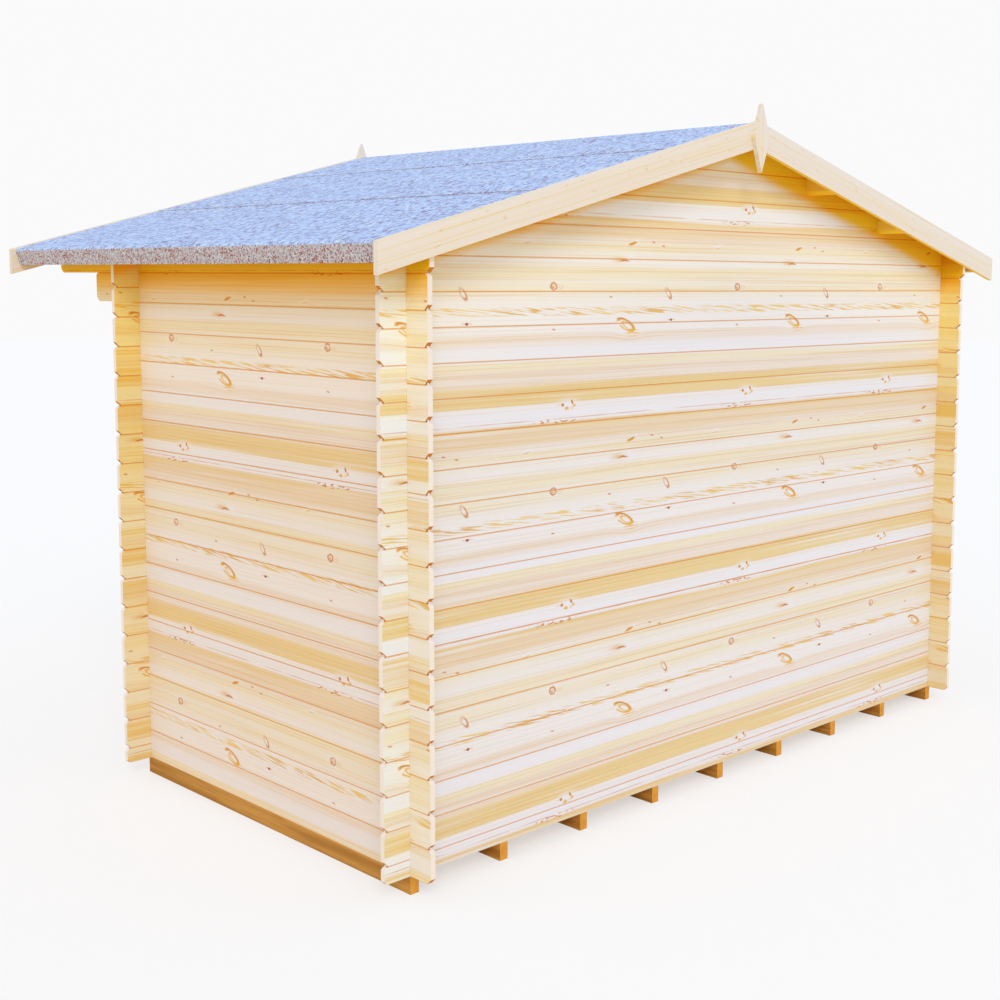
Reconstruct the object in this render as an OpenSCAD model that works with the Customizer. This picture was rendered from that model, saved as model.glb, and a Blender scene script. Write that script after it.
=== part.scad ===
// Log cabin of interlocking logs, on bearers, with a felt roof that reaches out over its door end.
// X runs along the gables, Y from the plain back gable to the door, and Z up from the ground.
// The origin is on the ground, at the middle of the whole outline.

/* [Walls] */
// Width over the outer faces of the side walls
cabin_w = 3164; // [2600:1:3800]
// Depth over the outer faces of the gables
cabin_d = 1670; // [1300:1:2600]
// Height of one log, from joint to joint
log_h = 114; // [100:1:130]
// Thickness of a log
log_t = 19; // [16:1:28]
// Logs in a side wall, counting the eaves log
side_courses = 18; // [17:1:20]
// How much taller the eaves log is than the others
eaves_rise = 12; // [0:1:30]
// How far a log's end stands out past the wall that it crosses
log_end = 104; // [60:1:150]
// Cut across the lower corners of a log's end
low_cut = 18; // [4:1:24]
// Cut across the upper corners of a log's end
top_cut = 10; // [4:1:20]
// Bevel along a log's edges, which makes the groove at each joint
edge_bevel = 3; // [1:0.5:5]
// Thickness of the tongue on top of a log
tongue_t = 6; // [4:0.5:8]
// Height of the tongue
tongue_h = 7; // [4:0.5:12]

/* [Base] */
// Number of bearers under the cabin
bearer_count = 9; // [9:1:14]
// Width of a bearer
bearer_w = 35; // [30:1:60]
// Height of a bearer
bearer_h = 63; // [40:1:100]
// Thickness of the floor boards
floor_t = 19; // [12:1:28]

/* [Roof] */
// Slope of the roof in degrees
roof_pitch = 15.2; // [12:0.1:18]
// Reach of the roof past the back gable, to the face of its bargeboards
back_reach = 133; // [110:1:300]
// Reach of the roof past the door gable, to the face of its bargeboards
front_reach = 646; // [400:1:900]
// Reach of the bargeboards past a side wall, measured level
eaves_reach = 211; // [130:1:300]
// Thickness of the roof boards
deck_t = 16; // [12:1:22]
// Thickness of the felt
felt_t = 3; // [2:0.5:4]
// Width of the felt strip that covers the ridge
ridge_felt_w = 992; // [700:1:1200]
// Distance down the slope from the ridge to the lower lap of the felt
lower_lap = 1163; // [900:1:1400]
// Width of each lap of the felt
felt_lap = 100; // [60:1:150]
// Depth of the board under the edge of the roof boards
eaves_board_h = 47; // [30:1:60]
// Thickness of that board
eaves_board_t = 19; // [12:1:28]
// How far the felt's fold stands back from the bargeboards' ends
felt_set_back = 16; // [2:1:24]
// Radius of the felt's bend over the edge of the roof boards
felt_bend = 14; // [6:1:20]

/* [Trim] */
// Height of a bargeboard, measured plumb
barge_h = 101; // [80:1:140]
// How far the top of a bargeboard stands above the felt
barge_rise = 5; // [0:1:15]
// Thickness of the bargeboards
barge_t = 19; // [14:1:28]
// Height of a finial
finial_h = 255; // [160:1:320]
// Width of a finial
finial_w = 92; // [60:1:140]
// Thickness of a finial
finial_t = 19; // [12:1:28]
// How far a finial's tip stands above the ridge of the roof
finial_rise = 67; // [30:1:110]

/* [Purlins] */
// Width of a purlin
purlin_w = 60; // [38:1:80]
// Depth of a purlin at its middle
purlin_h = 81; // [60:1:110]
// Radius of a purlin's lower corners
purlin_r = 24; // [2:1:28]
// How far the log under the eaves log runs on past the door gable, as a corbel
corbel_reach = 322; // [200:1:380]
// Cut across the lower corners of the eaves logs' ends
eaves_cut = 18; // [6:1:40]

/* [Door] */
// Width of the doorway cut through the logs
doorway_w = 1300; // [900:1:1500]
// Height of the doorway, in logs
door_courses = 16; // [14:1:16]
// Width of the door frame's members
frame_w = 44; // [30:1:70]
// Depth of the door frame, through the wall
frame_d = 58; // [40:1:90]
// Height of the threshold
threshold_h = 28; // [20:1:45]
// Thickness of a door leaf
leaf_t = 34; // [28:1:44]
// Width of a leaf's stiles and rails
rail_w = 92; // [60:1:120]
// Thickness of the boards in a leaf
panel_t = 14; // [10:1:18]
// Running gap round a leaf
leaf_gap = 4; // [2:0.5:8]
// Width of the stop behind a leaf's edge
stop_w = 14; // [9:1:25]
// Height of a hinge
hinge_h = 80; // [60:1:110]
// Radius of a hinge's knuckle
knuckle_r = 6; // [4:0.5:9]

/* [Boards] */
// Width of a roof board
deck_board = 95; // [80:1:140]
// Width of a floor board
floor_board = 112; // [90:1:140]
// Width of a board in a door leaf
door_board = 88; // [70:1:110]
// Depth of the groove between two boards
board_groove = 3; // [1:0.5:4]
// Clearance in the notches and tongues
fit = 0.4; // [0.2:0.1:0.8]

/* [Hidden] */
// Plan
side_x = (cabin_w - log_t) / 2;
roof_len = cabin_d + back_reach + front_reach;
back_face = back_reach - roof_len / 2;
back_y = back_face + log_t / 2;
front_y = back_face + cabin_d - log_t / 2;
deck_back = barge_t - roof_len / 2;
deck_front = roof_len / 2 - barge_t;

// Heights
base_z = bearer_h;
eaves_z = base_z + side_courses * log_h + eaves_rise;
slope = tan(roof_pitch);
ridge_z = eaves_z + slope * cabin_w / 2;
deck_top_z = ridge_z + deck_t / cos(roof_pitch);
felt_top_z = ridge_z + (deck_t + felt_t) / cos(roof_pitch);
roof_half = cabin_w / 2 + eaves_reach;
top_row = floor((ridge_z - base_z) / log_h + 0.5) - 1;
tall = 4 * ridge_z;

// Slope lengths, from the ridge down the top of the roof boards
fold_top = (roof_half - felt_set_back) / cos(roof_pitch) - felt_t * slope;
deck_len = fold_top - felt_t;
upper_lap = ridge_felt_w / 2;
lap_ramp = 4 * felt_t;
bend = min(felt_bend, deck_t);

// Purlins at the thirds of each slope, and one at the ridge
purlin_x = [cabin_w / 6, cabin_w / 3];
purlin_round = min(purlin_r, 0.48 * purlin_w);

// Doorway
sill_z = base_z + log_h / 2;
head_z = sill_z + door_courses * log_h;
leaf_w = (doorway_w - 2 * frame_w - 3 * leaf_gap) / 2;
leaf_bottom = sill_z + threshold_h + leaf_gap;
leaf_h = head_z - frame_w - leaf_gap - leaf_bottom;
leaf_face = front_y + frame_d / 2;
leaf_back = leaf_face - leaf_t;
panel_tuck = 8;
stile_tuck = 1;

// Underside of the roof boards at a distance x from the ridge
function under_roof(x) = ridge_z - slope * abs(x);

// A point on the right slope: s down the slope, n above the top of the roof boards
function on_slope(s, n) = [
    s * cos(roof_pitch) + n * sin(roof_pitch),
    deck_top_z - s * sin(roof_pitch) + n * cos(roof_pitch)
];

// Carries a drawing in X and Z through a thickness along Y, from y0 to y1
module through_y(y0, y1) {
    translate([0, y1, 0]) rotate([90, 0, 0]) linear_extrude(y1 - y0) children();
}

// Carries a drawing in Y and Z along X, from x0 to x1
module along_x(x0, x1) {
    translate([x0, 0, 0]) rotate([90, 0, 90]) linear_extrude(x1 - x0) children();
}

// Logs

// Section of a log between two heights, with bevelled edges, a groove below and a tongue above
function log_section(z0, z1, grooved) =
    let (half = log_t / 2, slot = tongue_t / 2 + fit, lip = tongue_t / 2)
    concat(
        grooved ? [[-half, z0 + edge_bevel], [edge_bevel - half, z0], [-slot, z0],
            [-slot, z0 + tongue_h + fit], [slot, z0 + tongue_h + fit], [slot, z0],
            [half - edge_bevel, z0], [half, z0 + edge_bevel]] : [[-half, z0], [half, z0]],
        [[half, z1 - edge_bevel], [half - edge_bevel, z1], [lip, z1], [lip, z1 + tongue_h],
            [-lip, z1 + tongue_h], [-lip, z1], [edge_bevel - half, z1], [-half, z1 - edge_bevel]]
    );

// Side view of a log from u0 to u1, with its ends cut across the corners
function log_side(u0, u1, z0, z1, low = low_cut) = [
    [u0, z0 + low], [u0 + low, z0], [u1 - low, z0], [u1, z0 + low],
    [u1, z1 - top_cut], [u1 - top_cut, z1], [u1 - top_cut, z1 + tongue_h],
    [u0 + top_cut, z1 + tongue_h], [u0 + top_cut, z1], [u0, z1 - top_cut]
];

// The quarter notches, above and below, where a log crosses the walls at the places given
module notches(places, z0, z1) {
    for (place = places) {
        translate([place - log_t / 2 - fit, z0 - log_h]) square([log_t + 2 * fit, 1.25 * log_h]);
        translate([place - log_t / 2 - fit, z1 - log_h / 4]) square([log_t + 2 * fit, log_h]);
    }
}

// A log that runs along X: its section carried along it, kept where the side view allows
module log_body(z0, z1, reach, grooved) {
    intersection() {
        along_x(-reach, reach) polygon(log_section(z0, z1, grooved));
        through_y(-log_t, log_t) children();
    }
}

// One log of a side wall, drawn along X and turned to run along Y
module side_log(row) {
    z0 = base_z + row * log_h;
    z1 = z0 + log_h;
    last = row == side_courses - 2;
    u0 = back_y - log_t / 2 - log_end;
    u1 = front_y + log_t / 2 + (last ? corbel_reach : log_end);
    rotate([0, 0, 90]) log_body(z0, z1, roof_len, row > 0) difference() {
        polygon(log_side(u0, u1, z0, z1));
        notches([back_y, front_y], z0, z1);
    }
}

module side_logs(x, first) {
    translate([x, 0, 0]) for (row = [first : 2 : side_courses - 2]) side_log(row);
}

// Top log of a side wall, bevelled to the roof, from one pair of bargeboards to the other
module eaves_log() {
    z0 = base_z + (side_courses - 1) * log_h;
    z1 = eaves_z + log_h;
    half = log_t / 2;
    slot = tongue_t / 2 + fit;
    intersection() {
        through_y(deck_back, deck_front) polygon([
            [half, z0 + edge_bevel], [half, eaves_z], [-half, eaves_z + log_t * slope],
            [-half, z0 + edge_bevel], [edge_bevel - half, z0], [-slot, z0],
            [-slot, z0 + tongue_h + fit], [slot, z0 + tongue_h + fit], [slot, z0],
            [half - edge_bevel, z0]
        ]);
        along_x(-log_t, log_t) difference() {
            polygon([
                [deck_back, z0 + eaves_cut], [deck_back + eaves_cut, z0],
                [deck_front - eaves_cut, z0], [deck_front, z0 + eaves_cut],
                [deck_front, z1], [deck_back, z1]
            ]);
            for (y = [back_y, front_y]) {
                translate([y - log_t / 2 - fit, z0 - log_h]) square([log_t + 2 * fit, 1.25 * log_h]);
                translate([y - log_t / 2 - fit, z0 + 0.75 * log_h]) square([log_t + 2 * fit, log_h]);
            }
        }
    }
}

// Round lower corners of a purlin at a distance x from the ridge, with a gap at each side
function purlin_foot(x, gap) =
    let (low = under_roof(x) - purlin_h, r = purlin_round, middle = purlin_w / 2 + gap - r)
    concat(
        [for (a = [180 : 15 : 270]) [x - middle + r * cos(a), low + r + r * sin(a)]],
        [for (a = [270 : 15 : 360]) [x + middle + r * cos(a), low + r + r * sin(a)]]
    );

// Space that the purlins take out of a gable's log from z0 up, seen along Y
module purlin_slots(z0) {
    half = purlin_w / 2 + fit;
    for (side = [-1, 1], x = concat([0], purlin_x)) mirror([side < 0 ? 1 : 0, 0]) {
        polygon(concat(purlin_foot(x, fit), [[x + half, tall], [x - half, tall]]));
        if (x > 0 && under_roof(x) - purlin_h < z0) translate([x, 0]) square([roof_half, tall]);
    }
}

// One log of a gable: the first is half a log, and the last fills the peak
module gable_log(row, has_doorway) {
    z0 = base_z + max(0, (row - 0.5) * log_h);
    z1 = row == top_row ? ridge_z + log_h : base_z + (row + 0.5) * log_h;
    reach = side_x + log_t / 2 + log_end;
    log_body(z0, z1, reach, row > 0) difference() {
        intersection() {
            polygon(log_side(-reach, reach, z0, z1, row == 0 ? top_cut : low_cut));
            polygon([[-2 * reach, 0], [2 * reach, 0], [2 * reach, under_roof(2 * reach) - fit],
                [0, ridge_z - fit], [-2 * reach, under_roof(2 * reach) - fit]]);
        }
        notches([-side_x, side_x], row == 0 ? z0 - log_h : z0, z1);
        purlin_slots(z0);
        if (has_doorway) translate([-doorway_w / 2, sill_z]) square([doorway_w, head_z - sill_z]);
    }
}

// The logs of a gable from one row up to another, every second one
module gable_logs(y, first, last, has_doorway) {
    translate([0, y, 0]) for (row = [first : 2 : last]) gable_log(row, has_doorway);
}

// Base

module bearer_set() {
    gap = (cabin_w - bearer_w) / (bearer_count - 1);
    for (i = [0 : bearer_count - 1])
        translate([i * gap - cabin_w / 2, back_face, 0]) cube([bearer_w, cabin_d, bearer_h]);
}

// Edge of a row of boards from a to b at height z, with a groove of depth d where two meet
function grooved_edge(a, b, board, z, d) = [
    for (u = [a + board : board : b - board / 3], k = [-1, 0, 1])
        [u + k * abs(board_groove), z + (k == 0 ? d : 0)]
];

module floor_boards() {
    x = cabin_w / 2 - log_t - 2;
    y0 = back_y + log_t / 2 + 2;
    y1 = front_y - log_t / 2 - 2;
    along_x(-x, x) polygon(concat(
        [[y0, base_z + floor_t]],
        grooved_edge(y0, y1, floor_board, base_z + floor_t, -board_groove),
        [[y1, base_z + floor_t], [y1, base_z], [y0, base_z]]
    ));
}

// Roof

// The bend over the edge of the roof boards: r is the felt's outer or inner radius
function bend_line(r) = [
    for (a = [90 : -15 : 0]) on_slope(fold_top - bend + r * cos(a), felt_t - bend + r * sin(a))
];

// Roof boards of the right slope, grooved below, plumb at the ridge and round at the lower edge
module roof_boards() {
    intersection() {
        translate([0, 0, deck_top_z]) rotate([0, roof_pitch, 0])
            along_x(-deck_t, roof_half) polygon(concat(
                [[deck_back, -deck_t]],
                grooved_edge(deck_back, deck_front, deck_board, -deck_t, board_groove),
                [[deck_front, -deck_t], [deck_front, 0], [deck_back, 0]]
            ));
        through_y(-roof_len, roof_len) polygon(concat(
            [[0, tall], on_slope(fold_top - bend, deck_t)], bend_line(bend - felt_t),
            [on_slope(deck_len, -2 * deck_t), [0, 0]]
        ));
    }
}

// Board under the lower edge of the roof boards, square to the slope
module eaves_board() {
    through_y(deck_back, deck_front) polygon([
        on_slope(deck_len, -deck_t), on_slope(deck_len, -deck_t - eaves_board_h),
        on_slope(deck_len - eaves_board_t, -deck_t - eaves_board_h),
        on_slope(deck_len - eaves_board_t, -deck_t)
    ]);
}

// Underside of a strip of felt: flat on the boards from s0, then lifted over the strip below it
function felt_line(s0, s1, n) = [
    on_slope(s0, n), on_slope(s1 - felt_lap - lap_ramp, n),
    on_slope(s1 - felt_lap, n + felt_t), on_slope(s1, n + felt_t)
];

function reversed(list) = [for (i = [len(list) - 1 : -1 : 0]) list[i]];
function mirrored(list) = [for (p = list) [-p[0], p[1]]];

module upper_felt() {
    start = upper_lap - felt_lap;
    through_y(deck_back, deck_front) polygon(concat(
        felt_line(start, lower_lap, 0), reversed(felt_line(start, lower_lap, felt_t))
    ));
}

// Lowest strip, folded down over the ends of the boards and the board below them
module lower_felt() {
    start = lower_lap - felt_lap;
    foot = -deck_t - eaves_board_h;
    through_y(deck_back, deck_front) polygon(concat(
        [on_slope(start, 0)], bend_line(bend - felt_t),
        [on_slope(deck_len, foot), on_slope(fold_top, foot)],
        reversed(bend_line(bend)), [on_slope(start, felt_t)]
    ));
}

module ridge_strip() {
    low = [for (i = [1 : 3]) felt_line(0, upper_lap, 0)[i]];
    high = [for (i = [1 : 3]) felt_line(0, upper_lap, felt_t)[i]];
    through_y(deck_back, deck_front) polygon(concat(
        mirrored(reversed(low)), [[0, deck_top_z]], low,
        reversed(high), [[0, felt_top_z]], mirrored(high)
    ));
}

module purlin(x) {
    half = purlin_w / 2;
    through_y(deck_back, deck_front) polygon(concat(
        purlin_foot(x, 0), [[x + half, under_roof(x + half)]],
        x == 0 ? [[0, ridge_z]] : [], [[x - half, under_roof(x - half)]]
    ));
}

// Trim

module bargeboard() {
    top = felt_top_z + barge_rise;
    end_z = top - slope * roof_half;
    through_y(0, barge_t) polygon([
        [0, top], [roof_half, end_z], [roof_half, end_z - barge_h], [0, top - barge_h]
    ]);
}

module finial() {
    top = felt_top_z + finial_rise;
    through_y(0, finial_t) polygon([
        [0, top], [finial_w / 2, top - finial_h / 2], [0, top - finial_h],
        [-finial_w / 2, top - finial_h / 2]
    ]);
}

// Door

frame_back = front_y - frame_d / 2;
stop_face = leaf_back - fit;

module jamb() {
    outer = doorway_w / 2;
    inner = outer - frame_w;
    translate([0, 0, sill_z]) linear_extrude(head_z - sill_z) polygon([
        [outer, frame_back], [outer, leaf_face], [inner, leaf_face], [inner, stop_face],
        [inner - stop_w, stop_face], [inner - stop_w, frame_back]
    ]);
}

module head() {
    half = doorway_w / 2 - frame_w - stop_w;
    low = head_z - frame_w;
    along_x(-half, half) polygon([
        [frame_back, head_z], [leaf_face, head_z], [leaf_face, low], [stop_face, low],
        [stop_face, low - stop_w], [frame_back, low - stop_w]
    ]);
    for (side = [-1, 1])
        translate([side * (half + stop_w / 2) - stop_w / 2, stop_face, low])
            cube([stop_w, leaf_face - stop_face, frame_w]);
}

module threshold() {
    half = doorway_w / 2 - frame_w - stop_w;
    translate([-half, frame_back, sill_z]) cube([2 * half, frame_d, threshold_h]);
}

// Butt hinges at the right leaf's outer edge: a plate that fills the gap, and a knuckle outside
module hinges() {
    x = doorway_w / 2 - frame_w - leaf_gap;
    plate = leaf_t * 0.8;
    for (share = [0.12, 0.5, 0.88]) translate([x, leaf_face, leaf_bottom + share * leaf_h - hinge_h / 2]) {
        translate([0, -plate, 0]) cube([leaf_gap, plate + knuckle_r, hinge_h]);
        translate([leaf_gap / 2, knuckle_r + fit, 0]) cylinder(r = knuckle_r, h = hinge_h, $fn = 32);
    }
}

// The right leaf: a frame of stiles and rails round two boarded panels
module leaf() {
    x0 = leaf_gap / 2;
    x1 = x0 + leaf_w;
    mid = leaf_bottom + 0.45 * leaf_h;
    panel_x0 = x0 + rail_w;
    panel_x1 = x1 - rail_w;
    translate([0, leaf_back, 0]) {
        for (x = [x0, panel_x1]) translate([x, 0, leaf_bottom]) cube([rail_w, leaf_t, leaf_h]);
        for (z = [leaf_bottom, mid, leaf_bottom + leaf_h - rail_w])
            translate([panel_x0 - stile_tuck, 0, z])
                cube([panel_x1 - panel_x0 + 2 * stile_tuck, leaf_t, rail_w]);
    }
    translate([0, leaf_face - leaf_t / 2, leaf_bottom + rail_w / 2])
        linear_extrude(leaf_h - rail_w) polygon(concat(
            [[panel_x0 - panel_tuck, panel_t / 2]],
            grooved_edge(panel_x0, panel_x1, door_board, panel_t / 2, -board_groove),
            [[panel_x1 + panel_tuck, panel_t / 2], [panel_x1 + panel_tuck, -panel_t / 2],
                [panel_x0 - panel_tuck, -panel_t / 2]]
        ));
}

// Pieces by name

wood = [0.96, 0.86, 0.66];
treated = [0.62, 0.42, 0.2];
felt_grey = [0.5, 0.62, 0.78];

module bearers() { color(treated) bearer_set(); }
module floor_deck() { color(wood) floor_boards(); }

module left_wall_odd_logs() { color(wood) side_logs(-side_x, 0); }
module left_wall_even_logs() { color(wood) side_logs(-side_x, 1); }
module right_wall_odd_logs() { color(wood) side_logs(side_x, 0); }
module right_wall_even_logs() { color(wood) side_logs(side_x, 1); }
module right_eaves_log() { color(wood) translate([side_x, 0, 0]) eaves_log(); }
module left_eaves_log() { mirror([1, 0, 0]) right_eaves_log(); }

gable_from = side_courses;
module back_wall_odd_logs() { color(wood) gable_logs(back_y, 0, gable_from - 1, false); }
module back_wall_even_logs() { color(wood) gable_logs(back_y, 1, gable_from - 1, false); }
module back_gable_odd_logs() { color(wood) gable_logs(back_y, gable_from, top_row, false); }
module back_gable_even_logs() { color(wood) gable_logs(back_y, gable_from + 1, top_row, false); }
module front_wall_odd_logs() { color(wood) gable_logs(front_y, 0, gable_from - 1, true); }
module front_wall_even_logs() { color(wood) gable_logs(front_y, 1, gable_from - 1, true); }
module front_gable_odd_logs() { color(wood) gable_logs(front_y, gable_from, top_row, true); }
module front_gable_even_logs() { color(wood) gable_logs(front_y, gable_from + 1, top_row, true); }

module ridge_purlin() { color(wood) purlin(0); }
module right_upper_purlin() { color(wood) purlin(purlin_x[0]); }
module right_lower_purlin() { color(wood) purlin(purlin_x[1]); }
module left_upper_purlin() { mirror([1, 0, 0]) right_upper_purlin(); }
module left_lower_purlin() { mirror([1, 0, 0]) right_lower_purlin(); }

module right_roof_boards() { color(wood) roof_boards(); }
module left_roof_boards() { mirror([1, 0, 0]) right_roof_boards(); }
module right_eaves_board() { color(wood) eaves_board(); }
module left_eaves_board() { mirror([1, 0, 0]) right_eaves_board(); }
module right_lower_felt() { color(felt_grey) lower_felt(); }
module left_lower_felt() { mirror([1, 0, 0]) right_lower_felt(); }
module right_upper_felt() { color(felt_grey) upper_felt(); }
module left_upper_felt() { mirror([1, 0, 0]) right_upper_felt(); }
module ridge_felt() { color(felt_grey) ridge_strip(); }

module back_right_bargeboard() { color(wood) translate([0, -roof_len / 2, 0]) bargeboard(); }
module back_left_bargeboard() { mirror([1, 0, 0]) back_right_bargeboard(); }
module front_right_bargeboard() { color(wood) translate([0, deck_front, 0]) bargeboard(); }
module front_left_bargeboard() { mirror([1, 0, 0]) front_right_bargeboard(); }
module back_finial() { color(wood) translate([0, -roof_len / 2 - finial_t, 0]) finial(); }
module front_finial() { color(wood) translate([0, roof_len / 2, 0]) finial(); }

module door_right_jamb() { color(wood) jamb(); }
module door_left_jamb() { mirror([1, 0, 0]) door_right_jamb(); }
module door_head() { color(wood) head(); }
module door_threshold() { color(wood) threshold(); }
module right_door() { color(wood) leaf(); }
module left_door() { mirror([1, 0, 0]) right_door(); }
module door_hinges() { color("silver") for (side = [0, 1]) mirror([side, 0, 0]) hinges(); }

bearers();
floor_deck();  // floor
left_wall_odd_logs();
left_wall_even_logs();
left_eaves_log();
right_wall_odd_logs();
right_wall_even_logs();
right_eaves_log();
back_wall_odd_logs();
back_wall_even_logs();
back_gable_odd_logs();
back_gable_even_logs();
front_wall_odd_logs();
front_wall_even_logs();
front_gable_odd_logs();
front_gable_even_logs();
ridge_purlin();
left_upper_purlin();
left_lower_purlin();
right_upper_purlin();
right_lower_purlin();
left_roof_boards();
right_roof_boards();
left_eaves_board();
right_eaves_board();
left_lower_felt();
left_upper_felt();
right_lower_felt();
right_upper_felt();
ridge_felt();
back_left_bargeboard();
back_right_bargeboard();
front_left_bargeboard();
front_right_bargeboard();
back_finial();
front_finial();
door_left_jamb();
door_right_jamb();
door_head();
door_threshold();
left_door();
right_door();
door_hinges();
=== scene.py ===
import math

import bpy
from mathutils import Matrix, Vector


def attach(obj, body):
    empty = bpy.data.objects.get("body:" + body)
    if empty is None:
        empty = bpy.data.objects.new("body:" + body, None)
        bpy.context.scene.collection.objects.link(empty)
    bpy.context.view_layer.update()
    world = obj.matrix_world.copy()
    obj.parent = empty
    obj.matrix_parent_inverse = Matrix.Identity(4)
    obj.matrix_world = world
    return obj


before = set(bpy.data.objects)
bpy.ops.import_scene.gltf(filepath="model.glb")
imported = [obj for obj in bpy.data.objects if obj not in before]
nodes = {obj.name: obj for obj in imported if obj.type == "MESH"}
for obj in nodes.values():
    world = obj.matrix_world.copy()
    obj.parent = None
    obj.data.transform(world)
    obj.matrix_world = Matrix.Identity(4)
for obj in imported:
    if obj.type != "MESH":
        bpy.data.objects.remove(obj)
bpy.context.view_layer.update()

# A log cabin of pale spruce on treated bearers, under blue-grey mineral felt.
# The plain back gable faces -Y, the door end +Y, and one blank side wall -X. Metres throughout.

cabin = {
    "logHeight": 0.114,        # joint to joint
    "floorLevel": 0.063,       # underside of the lowest logs, on the bearers
    "halfWidth": 1.582,        # to the outer faces of the side walls
    "halfDepth": 0.835,        # to the outer faces of the gables, from midway between them
    "middle": -0.2565,         # where that is along Y
    "roofPitch": 15.2,         # degrees
    "soffitAtRidge": 2.557,    # underside of the roof boards
}


def srgb(red, green, blue):
    # 0 to 255 as seen on screen, turned to linear light
    def one(value):
        share = value / 255
        return share / 12.92 if share <= 0.04045 else ((share + 0.055) / 1.055) ** 2.4
    return (one(red), one(green), one(blue), 1.0)


# Shader maths

class Wire:
    # one value on its way through a material, so that sums can be written as sums
    def __init__(self, recipe, socket):
        self.recipe = recipe
        self.socket = socket

    def math(self, operation, *others):
        values = dict(enumerate((self, *others)))
        return self.recipe.make("ShaderNodeMath", values, operation=operation)

    def __add__(self, other):
        return self.math("ADD", other)

    def __sub__(self, other):
        return self.math("SUBTRACT", other)

    def __mul__(self, other):
        return self.math("MULTIPLY", other)

    def __truediv__(self, other):
        return self.math("DIVIDE", other)

    def __rsub__(self, other):
        return self.recipe.make("ShaderNodeMath", {0: other, 1: self}, operation="SUBTRACT")

    __radd__ = __add__
    __rmul__ = __mul__

    def floor(self):
        return self.math("FLOOR")

    def whole(self):
        # what is left above the whole number below
        return self.math("FRACT")

    def size(self):
        return self.math("ABSOLUTE")

    def sine(self):
        return self.math("SINE")

    def root(self):
        return self.math("SQRT")

    def fade(self):
        # 1 at nought, falling away like a bell
        return (self * self * -1.0).math("EXPONENT")

    def below(self, limit):
        return self.math("LESS_THAN", limit)

    def above(self, limit):
        return self.math("GREATER_THAN", limit)

    def rise(self, low, high):
        # 0 below low, 1 above high, smooth between
        return self.recipe.make("ShaderNodeMapRange", {"Value": self, "From Min": low, "From Max": high},
                                interpolation_type="SMOOTHSTEP")

    def most(self, other):
        return self.math("MAXIMUM", other)

    def least(self, other):
        return self.math("MINIMUM", other)


class Recipe:
    # the nodes of a material or of the world, each made with its settings and joined by its values
    def __init__(self, tree, output):
        self.tree = tree
        self.tree.nodes.clear()
        self.output = self.tree.nodes.new(output)

    def make(self, kind, values=None, out=0, **settings):
        node = self.tree.nodes.new(kind)
        for name, setting in settings.items():
            setattr(node, name, setting)
        for name, value in (values or {}).items():
            self.feed(node.inputs[name], value)
        if out == "all":
            return [Wire(self, socket) for socket in node.outputs if socket.enabled]
        return Wire(self, node.outputs[out])

    def feed(self, socket, value):
        if isinstance(value, Wire):
            self.tree.links.new(value.socket, socket)
        else:
            socket.default_value = value

    def seen(self):
        # 1 where the camera, a mirror or a pane looks straight at the surface
        paths = self.make("ShaderNodeLightPath", out="all")
        rays = {wire.socket.name: wire for wire in paths}
        return rays["Is Camera Ray"].most(rays["Is Glossy Ray"]).most(rays["Is Transmission Ray"])


class Finish(Recipe):
    # a material under construction
    def __init__(self, name, roughness=0.6, specular=0.3):
        self.material = bpy.data.materials.new(name)
        self.material.use_nodes = True
        super().__init__(self.material.node_tree, "ShaderNodeOutputMaterial")
        self.shader = self.tree.nodes.new("ShaderNodeBsdfPrincipled")
        self.tree.links.new(self.shader.outputs["BSDF"], self.output.inputs["Surface"])
        self.shader.inputs["Roughness"].default_value = roughness
        self.shader.inputs["Specular IOR Level"].default_value = specular

    def objectPoint(self):
        return self.make("ShaderNodeTexCoord", out="Object")

    def split(self, point):
        return self.make("ShaderNodeSeparateXYZ", {0: point}, out="all")

    def place(self):
        return self.split(self.objectPoint())

    def facing(self):
        return self.split(self.make("ShaderNodeNewGeometry", out="Normal"))

    def channels(self, colour):
        return self.make("ShaderNodeSeparateColor", {0: colour}, out="all")

    def point(self, x=0.0, y=0.0, z=0.0):
        return self.make("ShaderNodeCombineXYZ", {"X": x, "Y": y, "Z": z})

    def noise(self, point, scale=1.0, detail=1.0):
        return self.make("ShaderNodeTexNoise", {"Vector": point, "Scale": scale, "Detail": detail},
                         noise_dimensions="3D")

    def luck(self, point):
        # three unrelated numbers from 0 to 1 for each point
        return self.channels(self.make("ShaderNodeTexWhiteNoise", {"Vector": point}, out="Color",
                                       noise_dimensions="3D"))

    def blend(self, share, first, second, way="MIX"):
        return self.make("ShaderNodeMix", {"Factor": share, "A": first, "B": second},
                         out="Result", data_type="RGBA", blend_type=way)

    def tint(self, share, colour, tone):
        return self.blend(share, colour, tone, "MULTIPLY")

    def ramp(self, share, stops):
        wire = self.make("ShaderNodeValToRGB", {"Fac": share})
        band = wire.socket.node.color_ramp
        for place, colour in stops[1:-1]:
            band.elements.new(place).color = colour
        for element, (place, colour) in zip(band.elements, stops):
            element.position = place
            element.color = colour
        return wire

    def paint(self, colour):
        self.feed(self.shader.inputs["Base Color"], colour)

    def dull(self, roughness):
        self.feed(self.shader.inputs["Roughness"], roughness)

    def emboss(self, height, depth, strength):
        bump = self.make("ShaderNodeBump", {"Height": height, "Distance": depth, "Strength": strength})
        self.feed(self.shader.inputs["Normal"], bump)


print("shader tools ready")


# Wood

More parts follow.
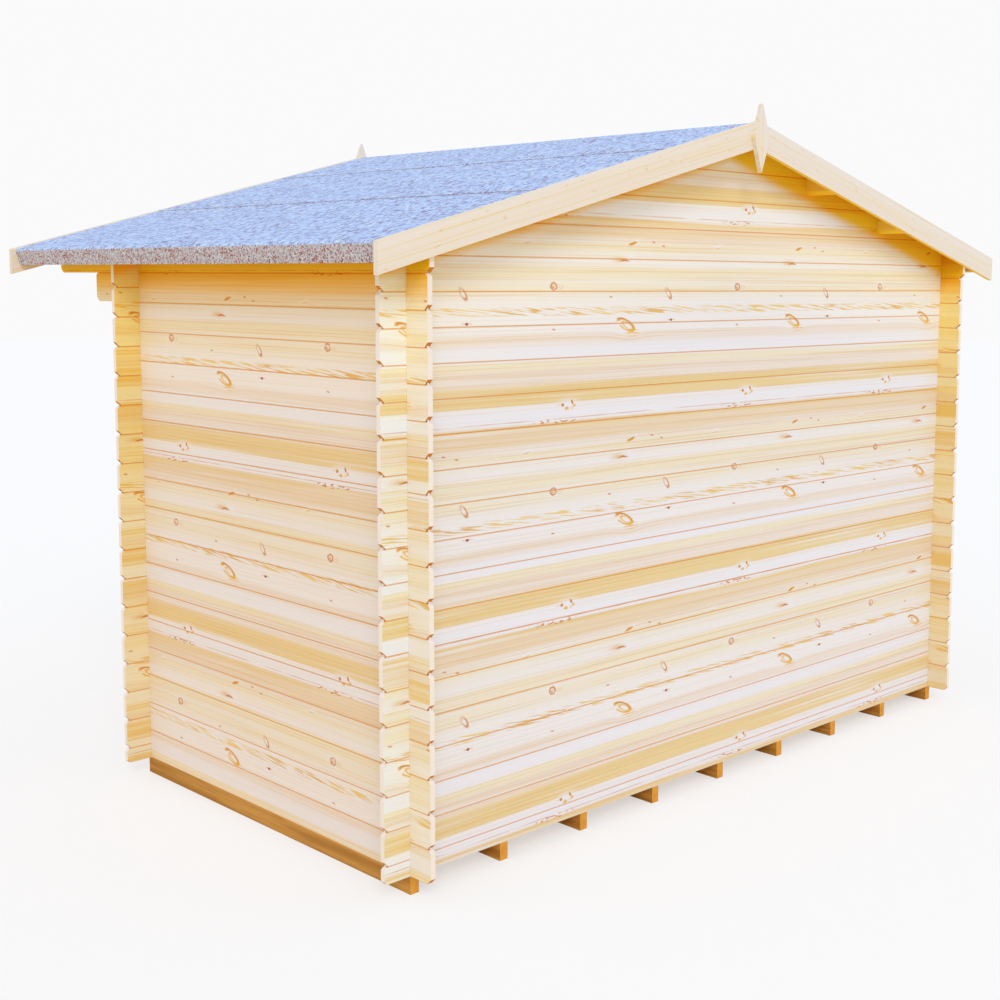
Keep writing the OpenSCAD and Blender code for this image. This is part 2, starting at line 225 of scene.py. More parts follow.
spruce = {
    "sap": srgb(238, 231, 230),
    "pale": srgb(240, 231, 224),
    "cream": srgb(239, 227, 211),
    "blush": srgb(237, 220, 204),
    "straw": srgb(239, 223, 192),
    "tan": srgb(235, 210, 177),
    "gold": srgb(235, 206, 149),
    "line": srgb(226, 180, 116),
    "fleck": srgb(232, 176, 62),
    "honey": srgb(236, 192, 84),
    "knot": srgb(206, 134, 66),
    "amber": srgb(206, 126, 22),
    "heart": srgb(160, 72, 40),
    "joint": srgb(228, 164, 70),
    "trim": srgb(236, 230, 225),
    "thread": srgb(236, 213, 150),
    "sawn": srgb(246, 240, 234),
    "sawnUnderShade": srgb(206, 130, 40),    # painted shade on the cut of a log's end that faces down
}

# the pattern of the grain, which comes back every metre along a wall and every height up it
pattern = {
    "height": 0.7055,
    "start": 0.06,                      # metres of it below the row of leaf knots
    "bendSize": (0.08, 0.05, -22.0),    # of the place where a leaf knot bends the bands
    "reliefDepth": 0.0003,
    "reliefStrength": 0.35,
    # from the row of leaf knots up, as shares of the height
    "bands": [(0.0, "pale"), (0.05, "pale"), (0.075, "cream"), (0.11, "pale"), (0.15, "cream"),
              (0.18, "straw"), (0.215, "cream"), (0.245, "straw"), (0.285, "straw"), (0.3, "pale"),
              (0.36, "cream"), (0.385, "straw"), (0.43, "blush"), (0.446, "tan"), (0.505, "tan"),
              (0.515, "gold"), (0.535, "tan"), (0.543, "sap"), (0.6, "sap"), (0.626, "pale"),
              (0.634, "gold"), (0.66, "gold"), (0.715, "gold"), (0.73, "blush"), (0.79, "blush"),
              (0.802, "straw"), (0.833, "straw"), (0.841, "sap"), (0.9, "sap"), (0.928, "blush"),
              (0.955, "blush"), (0.975, "pale")],
    "thinLine": 0.389,                  # metres above the leaf knots, as all places below
    "fleckRow": 0.053,
    "fleckRowHalf": 0.016,
    # knots: place along and above, half length, half width, lean in degrees
    "leaf": (0.29, 0.0, 0.045, 0.0165, -23.0),
    "drop": (0.52, 0.112, 0.021, 0.009, -52.0),
    "pin": (0.535, 0.015, 0.0075, 0.0045),
    "round": (-0.073, 0.137, 0.016, 0.014),
    "fan": (0.28, 0.228, 0.024, 0.0036),
    "blot": (0.322, 0.29, 0.023, 0.0055, 15.0),
    "faint": (-0.195, 0.285, 0.016, 0.0025, 8.0),
    "crown": (0.0, 0.433, 0.05, 0.02),
    "dashes": (-0.06, 0.381, 0.1, 0.008),
    "dots": [(0.435, 0.297), (0.49, 0.284), (-0.073, -0.01), (0.21, 0.1)],
    "dotSize": (0.0085, 0.003, -8.0),
    # the spots of a crown knot: place from its middle, half length and width, lean, share and tone
    "crownSpots": [(-0.028, 0.002, 0.007, 0.006, 0.0, 0.95, "amber"),
                   (-0.043, 0.003, 0.014, 0.002, 5.0, 0.5, "line"),
                   (-0.008, -0.011, 0.010, 0.0055, 0.0, 0.9, "fleck"),
                   (0.018, 0.010, 0.009, 0.0045, -60.0, 0.95, "amber"),
                   (0.029, -0.003, 0.007, 0.006, 0.0, 0.8, "fleck"),
                   (0.017, -0.010, 0.007, 0.005, 0.0, 0.4, "fleck")],
}


def oval(away, aside, length, width, lean=0.0):
    # 0 in the middle, 1 on the edge; lean turns it, in degrees
    turn = math.radians(lean)
    long = away * (math.cos(turn) / length)
    wide = aside * (math.cos(turn) / width)
    if lean:
        long = long + aside * (math.sin(turn) / length)
        wide = wide - away * (math.sin(turn) / width)
    return (long * long + wide * wide).root()


def inside(distance, softness):
    # 1 within the edge of an oval, fading out over the softness
    return 1.0 - distance.rise(1.0 - softness, 1.0 + softness)


def ring(distance, middle, width):
    # 1 on a ring about an oval, fading to 0 on both sides of it
    return 1.0 - (distance - middle).size().rise(0.0, width * 1.8)


class Grain:
    # planed spruce: its colour and relief at a place along and up the pattern, in metres
    def __init__(self, finish, along, height, through):
        self.finish = finish
        self.along = along
        self.height = height
        level = (height + pattern["start"]) / pattern["height"]
        self.tile = level.floor()
        self.up = (level - self.tile) * pattern["height"] - pattern["start"]
        self.sway = self.noise(along * 0.6, self.tile) - 0.5
        self.relief = self.noise(along * 0.8, height * 230.0, through * 50.0)
        self.bands(through)

    def noise(self, x, y=0.0, z=0.0, detail=1.0):
        return self.finish.noise(self.finish.point(x, y, z), detail=detail)

    def stain(self, share, tone):
        self.colour = self.finish.blend(share, self.colour, spruce[tone])

    def near(self, along, above):
        # the place seen from a knot, which comes back all along the pattern
        return (self.along - (along - 0.5)).whole() - 0.5, self.up - above

    def knot(self, name):
        along, above, *size = pattern[name]
        return (*self.near(along, above), size)

    def bands(self, through):
        # bands of sapwood and heartwood, with fine lines in the darker ones
        away, above, _ = self.knot("leaf")
        leafNear = oval(away, above, *pattern["bendSize"]).fade()
        bent = self.up + self.sway * 0.012 - above * leafNear * 0.5
        broad = self.noise(self.along * 0.9, bent * 60.0, through * 20.0, detail=2.0) - 0.5
        fine = self.noise(self.along * 0.8, bent * 230.0, through * 50.0, detail=2.0)
        share = (bent / pattern["height"] + 1.0).whole() + broad * 0.012
        self.colour = self.finish.ramp(share, [(place, spruce[tone]) for place, tone in pattern["bands"]])
        _, _, blue = self.finish.channels(self.colour)
        ripe = (0.86 - blue) * 2.2
        self.stain((fine.rise(0.5, 0.66) * (ripe * 0.7 + 0.05)).least(0.42), "line")
        self.stain(broad.rise(0.02, 0.3) * 0.7, "sap")
        parts = self.noise(self.along * 5.0, self.tile).rise(0.35, 0.6)
        self.stain(ring(bent, pattern["thinLine"], 0.0016) * parts * 0.7, "knot")

    def emboss(self):
        self.finish.emboss(self.relief, pattern["reliefDepth"], pattern["reliefStrength"])

    def addKnots(self):
        self.wobble = self.finish.noise(self.finish.point(self.along, self.height, self.tile), 80.0) - 0.5
        self.slant = self.noise(self.along * 8.0, self.up * 190.0 + self.along * 20.0, self.tile)
        self.flecks()
        self.dashes()
        self.leafKnot()
        self.dropKnot()
        self.pinKnot()
        self.roundKnot()
        self.fanKnot()
        self.blotAndDots()
        self.faintFan()
        self.crownKnot()

    def flecks(self):
        # a long row of slanting flecks in a paler strip, browner here and there
        strip = ((self.up - pattern["fleckRow"] - self.sway * 0.02) / pattern["fleckRowHalf"]).fade()
        self.stain(strip * 0.6, "sap")
        flecks = self.slant.rise(0.5, 0.56) * strip.rise(0.3, 0.7)
        self.stain(flecks * 0.8, "honey")
        browner = self.noise(self.along * 2.2, self.tile, detail=0.0).rise(0.45, 0.6)
        self.stain(flecks * browner * 0.35, "knot")

    def dashes(self):
        # along the foot of the pale strip
        away, above, (length, width) = self.knot("dashes")
        dashes = self.noise(self.along * 45.0, self.up * 160.0, self.tile, detail=0.0).rise(0.56, 0.62)
        area = (above / width).fade() * (away / length).fade()
        self.stain(dashes * area.rise(0.2, 0.5) * 0.9, "knot")

    def leafKnot(self):
        # a broken ring, golden below, round a smaller one, with a tail of fine lines
        away, above, size = self.knot("leaf")
        leaf = oval(away, above, *size) + self.wobble * 0.16
        self.stain(inside(leaf, 0.2) * 0.3, "sap")
        broken = ring(leaf, 1.0, 0.17) * oval(away + 0.04, above - 0.006, 0.014, 0.009).rise(0.7, 1.1)
        self.stain(broken, "fleck")
        upper = (above + away * 0.42 + self.wobble * 0.01).rise(-0.003, 0.006)
        self.stain(broken * upper * 0.85, "knot")
        inner = oval(away - 0.010, above + 0.0035, 0.030, 0.0095, -25.0) + self.wobble * 0.2
        self.stain(ring(inner, 1.0, 0.24) * 0.85, "fleck")
        tail = inside(oval(away - 0.036, above + 0.028, 0.038, 0.013), 0.4)
        lines = ((self.up + self.sway * 0.02) * 560.0 + self.wobble * 3.0).sine().rise(0.0, 0.8)
        self.stain(tail * lines * 0.8, "fleck")

    def dropKnot(self):
        # a leaning ring, darker on its right
        away, above, size = self.knot("drop")
        drop = oval(away, above, *size) + self.wobble * 0.25
        self.stain(inside(drop, 0.25) * 0.6, "sap")
        self.stain(ring(drop, 1.0, 0.32) * (0.45 + away.rise(-0.008, 0.008) * 0.5), "knot")

    def pinKnot(self):
        # a dark point with little wings
        away, above, size = self.knot("pin")
        self.stain(oval(away, above, 0.05, 0.012).fade() * 0.6, "sap")
        self.stain(inside(oval(away.size() - 0.014, above - 0.001, 0.009, 0.002), 0.6) * 0.7, "fleck")
        self.stain(inside(oval(away, above, *size) + self.wobble * 0.5, 0.4) * 0.95, "heart")

    def roundKnot(self):
        # an uneven ring with streaks running off it
        away, above, size = self.knot("round")
        self.stain(oval(away - 0.004, above, 0.034, 0.024).fade() * 0.6, "sap")
        knot = oval(away, above, *size) + self.wobble * 0.6
        self.stain(inside(knot, 0.2) * 0.35, "line")
        self.stain(ring(knot, 0.85, 0.22) * (self.slant * 1.6).least(1.0), "amber")
        self.stain(inside(oval(away + 0.004, above + 0.003, 0.006, 0.004) + self.wobble, 0.5) * 0.6, "knot")
        streaks = inside(oval(away - 0.032, above + 0.003, 0.017, 0.01), 0.4)
        self.stain(streaks * ((above - away * 0.5) * 700.0).sine().rise(0.1, 0.8) * 0.7, "fleck")

    def fanKnot(self):
        # a dark bow, gold on its left and white on its right
        away, above, size = self.knot("fan")
        self.stain(oval(away - 0.03, above - 0.008, 0.03, 0.016).fade() * 0.9, "sap")
        self.stain(oval(away + 0.025, above - 0.004, 0.034, 0.009).fade() * 0.75, "line")
        bow = oval(away, above - 0.003 + away.size() * 0.16, *size) + self.wobble * 0.5
        self.stain(inside(bow, 0.5), "knot")

    def blotAndDots(self):
        # a golden blot with a darker middle, and single dots here and there
        away, above, size = self.knot("blot")
        self.stain(inside(oval(away - 0.004, above - 0.003, 0.032, 0.008, 16.0), 0.5) * 0.6, "sap")
        blot = oval(away, above, *size) + self.wobble * 0.7
        self.stain(inside(blot, 0.3), "fleck")
        self.stain(inside(blot + 0.2, 0.4) * 0.6, "knot")
        for place in pattern["dots"]:
            dot = oval(*self.near(*place), *pattern["dotSize"]) + self.wobble * 0.5
            self.stain(inside(dot, 0.4) * 0.8, "knot")

    def faintFan(self):
        away, above, size = self.knot("faint")
        self.stain(oval(away, above - 0.003, 0.022, 0.006, 14.0).fade() * 0.9, "sap")
        self.stain(inside(oval(away + 0.004, above + 0.003, *size), 0.5) * 0.6, "fleck")

    def crownKnot(self):
        # spots about an arch on the white strip, with a tail
        away, above, size = self.knot("crown")
        self.stain(inside(oval(away, above - 0.003, *size), 0.6) * 0.6, "sap")
        for right, high, length, width, lean, share, tone in pattern["crownSpots"]:
            spot = oval(away - right, above - high, length, width, lean) + self.wobble * 0.4
            self.stain(inside(spot, 0.35) * share, tone)


# painted light and shade: what the wood's colour is multiplied by where light or shade falls on it
paintedLight = {
    "gableLight": (0.975, 1.06, 1.20, 1.0),   # painted light: a gable, painted paler and bluer as if more brightly lit
    "shade": (1.15, 0.82, 0.02, 1.0),   # painted shade under the roof
    "eaves": (0.78, 0.68, 0.5, 1.0),    # deeper painted shade at the top of a side wall
    "vergeShade": (0.87, 0.80, 1.0, 1.0),    # deeper painted shade at the top of a gable
    "lightBelowShade": (1.10, 1.10, 1.03, 1.0),     # painted light: paler wood below the painted shade, where the roof's shadow falls
    "lightBelowShadeEnd": (0.15, 0.75),             # where that begins and ends, in metres under the roof
    "litTips": (1.03, 1.055, 0.98, 1.0),   # painted light on the outer side of the log ends that stand out past a corner
    "corner": (1.0, 0.88, 0.33, 1.0),   # painted shade on the inner side of a side wall's log ends
    "nookShade": (1.0, 0.82, 0.30, 1.0),     # painted shade on the inner side of a gable's
    "cornerEnd": (0.1, 1.6),            # where those fade, in metres under the roof
}


walls = {
    "side": {
        "outward": (0.0, -1.0),         # share of x and of y that runs to the right, seen from outside
        "lower": 0.0,                   # how far its logs lie below those of the side walls, in logs
        "start": -0.25,                 # of the pattern along the wall
        "leafRow": 0.2083,              # height of a row of leaf knots
        "shadeEnd": (0.11, 0.255),      # where the painted shade under the roof fades out, in metres under the roof
        "top": "eaves",                 # deeper painted shade that the colour right under the roof is multiplied by
        "topEnd": (0.08, 0.2),
    },
    "gable": {
        "outward": (1.0, 0.0),
        "lower": 0.5,
        "start": 0.13,
        "leafRow": 0.4133,
        "shadeEnd": (0.09, 0.14),
        "top": "vergeShade",
        "topEnd": (0.09, 0.14),
    },
}


def jointLine(finish, colour, share, fade, strength):
    # the deeper line at both edges of a log or board, across which the share runs from 0 to 1
    edge = share.least(1.0 - share)
    return finish.blend((1.0 - edge.rise(*fade)) * strength, colour, spruce["joint"])


def endGrain(finish, colour, across, through, row, onEnd, upward):
    # growth rings on a log's sawn end, with painted shade on the cuts that face down
    below = across + 0.05
    pith = (through * through + below * below).root()
    rings = (pith * 1900.0 + row * 2.0).sine().rise(-0.2, 0.9)
    face = finish.blend(rings * 0.2, spruce["sawn"], spruce["line"])
    # painted shade: cuts that face down are darker orange
    face = finish.blend((upward * -1.0).rise(0.2, 0.5), face, spruce["sawnUnderShade"])
    return finish.blend(onEnd, colour, face)


def logWood(name, wall):
    finish = Finish(name, 0.62, 0.25)
    x, y, z = finish.place()
    nx, ny, nz = finish.facing()
    alongX, alongY = wall["outward"]
    onGable = alongX != 0.0
    along = x * alongX if onGable else y * alongY
    through = y if onGable else x
    onEnd = (nx if onGable else ny).size().rise(0.3, 0.5)
    level = (z - cabin["floorLevel"]) / cabin["logHeight"] + wall["lower"]
    row = level.floor()
    share = level - row
    across = (share - 0.5) * cabin["logHeight"]
    grain = Grain(finish, along - wall["start"], z - wall["leafRow"], through)
    grain.addKnots()
    colour = grain.colour
    # painted light: the gables are painted paler and bluer than the side walls
    if onGable:
        colour = finish.tint(1.0, colour, paintedLight["gableLight"])
    colour = jointLine(finish, colour, share, (0.012, 0.026), 0.7)
    # close under the roof the wood is painted paler, which is painted light, and nearer the roof a deeper
    # gold, which is painted shade
    under = cabin["soffitAtRidge"] - x.size() * math.tan(math.radians(cabin["roofPitch"])) - z
    # painted light: the wood painted paler a little below the roof, against the roof's shadow
    colour = finish.tint(1.0 - under.rise(*paintedLight["lightBelowShadeEnd"]), colour, paintedLight["lightBelowShade"])
    uneven = (finish.noise(finish.point(along * 1.5)) - 0.5) * 0.03
    # painted shade: a deeper gold under the roof, with an uneven edge
    colour = finish.tint(1.0 - (under + uneven).rise(*wall["shadeEnd"]), colour, paintedLight["shade"])
    # deeper painted shade right under the roof
    colour = finish.tint(1.0 - (under + uneven).rise(*wall["topEnd"]), colour, paintedLight[wall["top"]])
    # log ends that stand out past a corner are painted lighter outside, which is painted light, and deep
    # gold inside, which is painted shade
    ahead = y - cabin["middle"]
    past = x.size() - cabin["halfWidth"] if onGable else ahead.size() - cabin["halfDepth"]
    inward = ny * ahead if onGable else nx * x
    past = past.above(0.0)
    inward = inward.below(-0.2)
    # painted light on the outer sides of the log ends
    colour = finish.tint(past * (1.0 - inward), colour, paintedLight["litTips"])
    # painted shade on the inner sides of the log ends, deeper near the roof
    strength = (1.0 if onGable else 0.85) - under.rise(*paintedLight["cornerEnd"]) * 0.4
    colour = finish.tint(past * inward * strength, colour, paintedLight["nookShade" if onGable else "corner"])
    finish.paint(endGrain(finish, colour, across, through, row, onEnd, nz))
    grain.emboss()
    return finish.material


def boardWood(name, alongAxis, start, tilt=0.0, boardWidth=0.0, acrossAxis="z", gold=0.0, calm=0.0):
    # wood whose grain runs along one axis; tilt turns the pattern about Y, in degrees; start is a
    # place in the pattern, and each board of a row takes its own; gold is the share of painted
    # shade from the roof on it, and faces that look down get painted shade too; calm wood has weaker
    # bands, with fine golden lines and dots
    finish = Finish(name, 0.6, 0.25)
    turn = (0.0, math.radians(tilt), 0.0)
    turned = finish.make("ShaderNodeMapping", {"Vector": finish.objectPoint(), "Rotation": turn})
    axes = dict(zip("xyz", finish.split(turned)))
    along = axes.pop(alongAxis)
    across = axes.pop(acrossAxis)
    (through,) = axes.values()
    height = across - start[1]
    if boardWidth:
        level = across / boardWidth + 40.0
        board = level.floor()
        share = level - board
        first, second, _ = finish.luck(finish.point(board, start[0]))
        along = along + first * 3.0
        height = (share - 0.5) * boardWidth + second * 2.0
    grain = Grain(finish, along - start[0], height, through)
    colour = grain.colour
    if calm:
        colour = finish.blend(calm, colour, spruce["trim"])
        lines = finish.noise(finish.point(along * 0.9, height * 150.0, through * 40.0), detail=3.0)
        colour = finish.blend(lines.rise(0.52, 0.66) * 0.7, colour, spruce["thread"])
        dots = finish.noise(finish.point(along * 26.0, height * 70.0, through), detail=0.0)
        colour = finish.blend(dots.rise(0.77, 0.81) * 0.35, colour, spruce["line"])
    if boardWidth:
        colour = jointLine(finish, colour, share, (0.01, 0.03), 0.6)
    # painted shade: faces that look down, and the gold share, are multiplied by the shade colour
    _, _, upward = finish.facing()
    down = (upward * -1.0).rise(0.3, 0.9) * 0.9
    finish.paint(finish.tint((down + gold).least(1.0), colour, paintedLight["shade"]))
    grain.emboss()
    return finish.material


leaf = {
    "face": 0.598,             # outer face along Y
    "bottom": 0.152,
    "top": 1.896,
    "middleRail": 0.937,       # its lower edge
    "rail": 0.092,
    "edge": 0.602,             # outer edge along X, on the right leaf
    "board": 0.088,
    "boardShift": (0.37, 0.61),         # along and up the pattern from one board to the next
    "railStart": (0.3, 0.11),
}


def leafWood(name):
    # stiles and boards with upright grain, rails with level grain
    finish = Finish(name, 0.6, 0.25)
    x, y, z = finish.place()
    side = x.size()
    board = (side / leaf["board"]).floor()
    alongShift, upShift = leaf["boardShift"]
    upright = Grain(finish, z + board * alongShift, x + board * upShift, y)
    level = Grain(finish, x + leaf["railStart"][0], z + leaf["railStart"][1], y)
    inner = (side - leaf["rail"]).above(0.0) * (side - leaf["edge"] + leaf["rail"]).below(0.0)
    rails = (z - leaf["bottom"]).below(leaf["rail"]).most((leaf["top"] - z).below(leaf["rail"]))
    rails = rails.most((z - leaf["middleRail"] - leaf["rail"] / 2).size().below(leaf["rail"] / 2))
    proud = y.above(leaf["face"] - 0.005).most(y.below(leaf["face"] - 0.03))
    finish.paint(finish.blend(inner * rails * proud, upright.colour, level.colour))
    return finish.material


treated = {
    "light": srgb(206, 152, 76),
    "dark": srgb(176, 122, 52),
    "deep": srgb(136, 90, 34),
    "sawn": srgb(238, 168, 62),
}


def treatedWood(name):
    finish = Finish(name, 0.72, 0.2)
    x, y, z = finish.place()
    broad = finish.noise(finish.point(y * 1.2, z * 40.0, x * 40.0), detail=3.0)
    fine = finish.noise(finish.point(y * 6.0, z * 260.0, x * 260.0), detail=3.0)
    colour = finish.blend(broad.rise(0.35, 0.65), treated["light"], treated["dark"])
    colour = finish.blend(fine.rise(0.5, 0.75) * 0.5, colour, treated["deep"])
    _, lengthwise, _ = finish.facing()
    finish.paint(finish.blend(lengthwise.size().rise(0.5, 0.8) * 0.6, colour, treated["sawn"]))
    finish.emboss(fine, 0.0008, 0.6)
    return finish.material


felt = {
    "slope": srgb(180, 204, 246),
    "slopePale": srgb(212, 232, 255),
    "slopeDark": srgb(146, 140, 178),
    "slopeGrains": 110.0,      # to the metre
    # the same felt where it is folded down over the edges, painted as in shade
    "fold": srgb(190, 184, 194),
    "foldPale": srgb(216, 224, 236),
    "foldDark": srgb(150, 78, 50),
    "foldGrains": 215.0,
    "alongFewer": 50.0,        # grains across the roof, which makes them longer that way
}


def mineralFelt(name):
    # blue mineral grains on the slopes; where the felt is folded down, finer grains in a browner grey that
    # is painted shade
    finish = Finish(name, 0.85, 0.15)
    x, y, z = finish.place()
    _, _, upward = finish.facing()
    onSlope = upward.rise(0.15, 0.45)
    fineness = felt["foldGrains"] - onSlope * (felt["foldGrains"] - felt["slopeGrains"])
    grain = finish.point(x * (fineness - felt["alongFewer"]), y * fineness, z * fineness)
    cells = finish.make("ShaderNodeTexVoronoi", {"Vector": grain, "Scale": 1.0}, out="Color",
                        voronoi_dimensions="3D", feature="F1")
    grains, clumps, _ = finish.channels(cells)
    # painted shade: faces that don't look up take the fold's darker, browner colours
    base = finish.blend(onSlope, felt["fold"], felt["slope"])
    light = finish.blend(onSlope, felt["foldPale"], felt["slopePale"])
    deep = finish.blend(onSlope, felt["foldDark"], felt["slopeDark"])
    colour = finish.blend(grains.rise(0.5, 0.8) * 0.8, base, light)
    finish.paint(finish.blend(clumps.rise(0.66, 0.86) * 0.9, colour, deep))
    finish.emboss(grains, 0.0012, 0.4)
    return finish.material


zinc = {
    "dull": srgb(170, 170, 168),
    "bright": srgb(205, 205, 203),
}


def zincPlate(name):
    finish = Finish(name, 0.4, 0.5)
    finish.shader.inputs["Metallic"].default_value = 1.0
    cloud = finish.noise(finish.objectPoint(), 60.0, 3.0)
    finish.paint(finish.blend(cloud, zinc["dull"], zinc["bright"]))
    finish.dull(cloud * 0.2 + 0.3)
    return finish.material


def dress(names, material):
    for name in names:
        piece = nodes[name]
        piece.data.materials.clear()
        piece.data.materials.append(material)


sides = ["left", "right"]
ends = ["back", "front"]
kinds = ["odd", "even"]

sideWalls = logWood("sideWallSpruce", walls["side"])
gables = logWood("gableSpruce", walls["gable"])
dress([f"{side}_wall_{kind}_logs" for side in sides for kind in kinds], sideWalls)
dress([f"{side}_eaves_log" for side in sides], sideWalls)
dress([f"{end}_wall_{kind}_logs" for end in ends for kind in kinds], gables)
dress([f"{end}_gable_{kind}_logs" for end in ends for kind in kinds], gables)
dress(["bearers"], treatedWood("treatedTimber"))
dress(["floor"], boardWood("floorBoards", "x", (0.1, 0.0), 0.0, 0.112, "y"))
# the purlins get painted shade at a share of 0.9 (gold)
dress(["ridge_purlin"] + [f"{side}_{level}_purlin" for side in sides for level in ("upper", "lower")],
      boardWood("purlinSpruce", "y", (0.3, 1.8), gold=0.9))
# the roof boards get painted shade at 0.9; the left bargeboards a little painted shade (gold 0.06)
for side, turn, gold in (("left", 1, 0.06), ("right", -1, 0.0)):
    tilt = turn * cabin["roofPitch"]
    dress([f"{side}_roof_boards"], boardWood(f"{side}RoofBoards", "x", (0.7, 0.0), tilt, 0.095, "y", 0.9))
    dress([f"{end}_{side}_bargeboard" for end in ends],
          boardWood(f"{side}Bargeboard", "x", (0.2, 1.87), tilt, gold=gold, calm=0.8))
dress([f"{side}_eaves_board" for side in sides], boardWood("eavesBoard", "y", (0.0, 1.5)))
dress([f"{end}_finial" for end in ends],
      boardWood("finialBoard", "z", (0.15, 0.1), acrossAxis="x", calm=0.7))
dress([f"{side}_{level}_felt" for side in sides for level in ("upper", "lower")] + ["ridge_felt"],
      mineralFelt("mineralFelt"))
dress(["door_left_jamb", "door_right_jamb"], boardWood("jambWood", "z", (0.4, 0.1), acrossAxis="x"))
dress(["door_head", "door_threshold"], boardWood("headWood", "x", (0.6, 1.3)))
dress(["left_door", "right_door"], leafWood("doorWood"))
dress(["door_hinges"], zincPlate("zincPlate"))
print("wood, felt and metal on the frame's own pieces")


# Door handle: a long plate with a lever and a lock, on the stile where the leaves meet

handle = {
    "x": 0.048,
    "z": 1.0,
    "plate": (0.038, 0.007, 0.21),
    "plateEdge": 0.0025,       # rounding
    "leverRise": 0.035,        # of the lever above the middle of the plate
    "neckRadius": 0.0085,
    "leverRadius": 0.008075,
    "leverReach": 0.045,       # out from the plate
    "leverLength": 0.11,
    "return": 0.032,           # of the lever's end, back towards the leaf
    "lockDrop": 0.05,
    "lockRadius": 0.009,
    "lockLength": 0.006,
    "lockOut": 0.002,          # middle of the lock, out from the plate
    "screwRadius": 0.0035,
    "screwLength": 0.002,
    "screwOut": 0.0005,
    "screwPlace": 0.09,        # of each screw from the middle of the plate
}


def shape(name, grow, move, axis=None):
    # sizes a new primitive's mesh, tips it over about an axis and moves it, so that the object
    # itself stays at the origin
    piece = bpy.context.object
    piece.name = name
    bpy.ops.object.mode_set(mode="EDIT")
    bpy.ops.mesh.select_all(action="SELECT")
    bpy.ops.transform.resize(value=grow, center_override=(0.0, 0.0, 0.0))
    if axis:
        bpy.ops.transform.rotate(value=math.radians(90.0), orient_axis=axis,
                                 center_override=(0.0, 0.0, 0.0))
    bpy.ops.transform.translate(value=move)
    bpy.ops.object.mode_set(mode="OBJECT")
    return piece


def soften(piece, width):
    bevel = piece.modifiers.new("edges", "BEVEL")
    bevel.width = width
    bevel.segments = 3
    bevel.limit_method = "ANGLE"
    bpy.ops.object.modifier_apply(modifier=bevel.name)
    bpy.ops.object.shade_smooth_by_angle(angle=math.radians(40.0))


def rod(name, radius, length, middle, axis, edge):
    bpy.ops.object.select_all(action="DESELECT")
    bpy.ops.mesh.primitive_cylinder_add(vertices=32, radius=1.0, depth=1.0, location=(0.0, 0.0, 0.0))
    piece = shape(name, (radius, radius, length), middle, axis)
    soften(piece, edge)
    return piece


def doorHandle():
    x, z = handle["x"], handle["z"]
    depth = handle["plate"][1]
    face = leaf["face"] + depth
    bpy.ops.object.select_all(action="DESELECT")
    bpy.ops.mesh.primitive_cube_add(size=1.0, location=(0.0, 0.0, 0.0))
    plate = shape("handle_plate", handle["plate"], (x, leaf["face"] + depth / 2, z))
    soften(plate, handle["plateEdge"])

    # the lever on its neck, its end turned back towards the leaf
    neck, radius = handle["neckRadius"], handle["leverRadius"]
    reach, length, back = handle["leverReach"], handle["leverLength"], handle["return"]
    leverZ = z + handle["leverRise"]
    leverPlace = (x + length / 2 - neck, face + reach - neck, leverZ)
    returnPlace = (x + length - neck * 2, face + reach - back / 2, leverZ)
    lockPlace = (x, face + handle["lockOut"], z - handle["lockDrop"])
    pieces = [
        plate,
        rod("handle_neck", neck, reach, (x, face + reach / 2, leverZ), "X", 0.004),
        rod("handle_lever", radius, length, leverPlace, "Y", 0.005),
        rod("handle_return", radius, back, returnPlace, "X", 0.005),
        rod("handle_lock", handle["lockRadius"], handle["lockLength"], lockPlace, "X", 0.001),
    ]
    for side in (-1, 1):
        screwPlace = (x, face + handle["screwOut"], z + side * handle["screwPlace"])
        screw = rod("handle_screw", handle["screwRadius"], handle["screwLength"], screwPlace, "X", 0.0006)
        pieces.append(screw)

    bpy.ops.object.select_all(action="DESELECT")
    for piece in pieces:
        piece.select_set(True)
    bpy.context.view_layer.objects.active = plate
    bpy.ops.object.join()
    plate.name = "door_handle"
    plate.data.materials.append(zincPlate("handleZinc"))
    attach(plate, "root")


doorHandle()
print("door handle fitted")


# Stage, light and camera

studio = {
    "paper": srgb(250, 250, 250),
    "bounce": (0.96, 0.82, 0.58, 1.0),  # colour of the light that the floor throws back
    "floorSize": 80.0,
    "sky": (0.95, 0.98, 1.05, 1.0),
    "skyStrength": 0.79,
    "keyStrength": 0.9,
    "keyTurn": (54.0, 0.0, -36.0),
    "keySoftness": 25.0,       # degrees across
    "shadowShare": 0.45,       # of the paper's colour that takes the object's shadow
    "glow": 0.58,              # of it that doesn't
}


def dim(colour, share):
    return tuple(channel * share for channel in colour[:3]) + (1.0,)


def studioPaper():
    # seen as white paper with the object's shadow at less than its full depth
    finish = Finish("studioPaper", 0.9, 0.0)
    straight = finish.seen()
    finish.paint(finish.blend(straight, studio["bounce"], dim(studio["paper"], studio["shadowShare"])))
    glow = finish.blend(straight, (0.0, 0.0, 0.0, 1.0), dim(studio["paper"], studio["glow"]))
    finish.feed(finish.shader.inputs["Emission Color"], glow)
    finish.shader.inputs["Emission Strength"].default_value = 1.0
    return finish.material


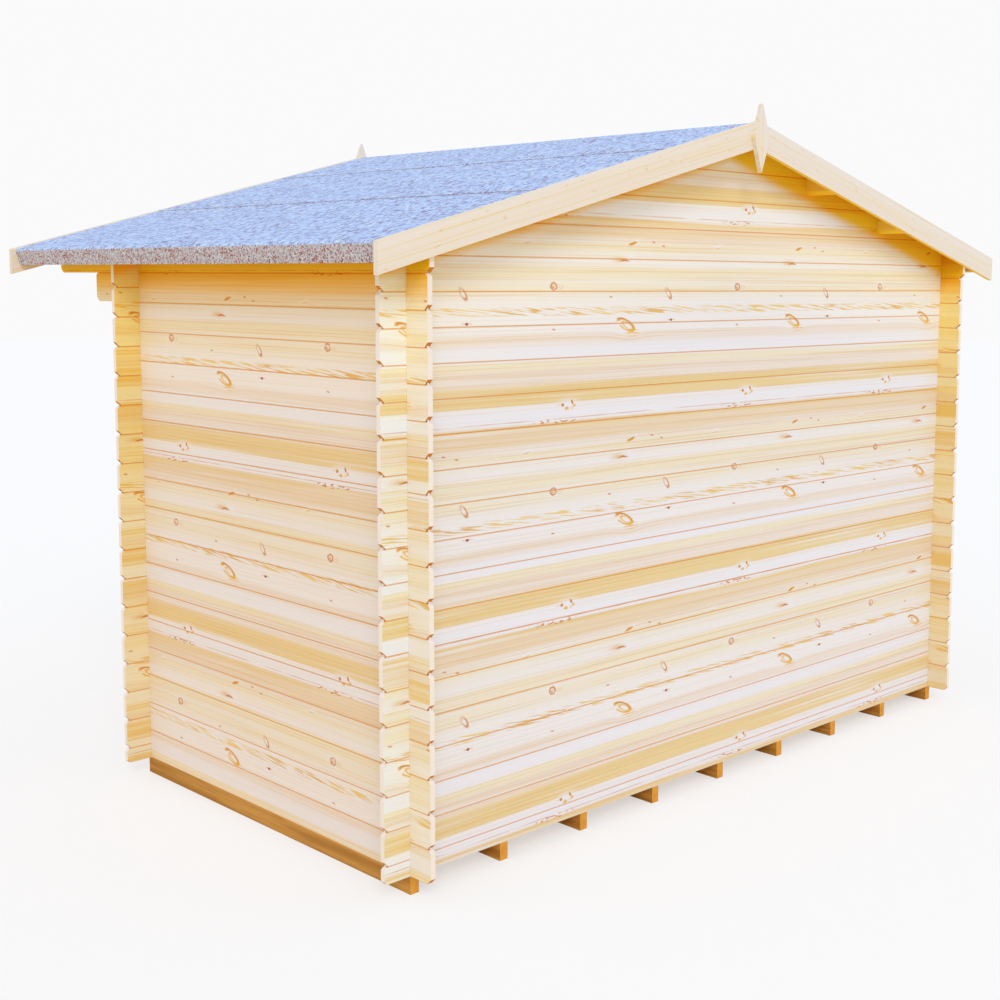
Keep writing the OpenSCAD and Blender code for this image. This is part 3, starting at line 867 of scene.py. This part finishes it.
def floorSheet():
    bpy.ops.object.select_all(action="DESELECT")
    bpy.ops.mesh.primitive_plane_add(size=studio["floorSize"], location=(0.0, 0.0, 0.0))
    ground = bpy.context.object
    ground.name = "studio_floor"
    ground.data.materials.append(studioPaper())


def lights():
    # a soft sky that lights the object, seen as white paper, and one soft lamp
    world = bpy.data.worlds.new("studioSky")
    world.use_nodes = True
    recipe = Recipe(world.node_tree, "ShaderNodeOutputWorld")
    sky = recipe.make("ShaderNodeBackground", {"Color": studio["sky"], "Strength": studio["skyStrength"]})
    paper = recipe.make("ShaderNodeBackground", {"Color": studio["paper"]})
    either = recipe.make("ShaderNodeMixShader", {0: recipe.seen(), 1: sky, 2: paper})
    recipe.feed(recipe.output.inputs["Surface"], either)
    bpy.context.scene.world = world
    key = bpy.data.lights.new("keyLight", "SUN")
    key.energy = studio["keyStrength"]
    key.angle = math.radians(studio["keySoftness"])
    lamp = bpy.data.objects.new("keyLight", key)
    lamp.rotation_euler = [math.radians(angle) for angle in studio["keyTurn"]]
    bpy.context.scene.collection.objects.link(lamp)


# the camera that took the photo, fitted to its log joints and corners
photoView = {
    "place": (-4.402, -4.6275, 1.983),
    "yaw": 44.326,             # degrees from +X towards +Y
    "pitch": -6.33,
    "roll": 0.359,
    "lens": 52.02,
    "sensor": 36.0,
    "shift": (-0.0860, -0.0596),
    "farthest": 200.0,
}


def camera():
    view = bpy.data.cameras.new("photoView")
    view.sensor_width = photoView["sensor"]
    view.lens = photoView["lens"]
    view.shift_x, view.shift_y = photoView["shift"]
    view.clip_end = photoView["farthest"]
    eye = bpy.data.objects.new("photoView", view)
    turn = (Matrix.Rotation(math.radians(photoView["yaw"] - 90.0), 4, "Z")
            @ Matrix.Rotation(math.radians(90.0 + photoView["pitch"]), 4, "X")
            @ Matrix.Rotation(math.radians(photoView["roll"]), 4, "Z"))
    eye.matrix_world = Matrix.Translation(Vector(photoView["place"])) @ turn
    bpy.context.scene.collection.objects.link(eye)
    bpy.context.scene.camera = eye


floorSheet()
lights()
camera()
bpy.context.scene.view_settings.view_transform = "Standard"
print("stage, light and camera set")
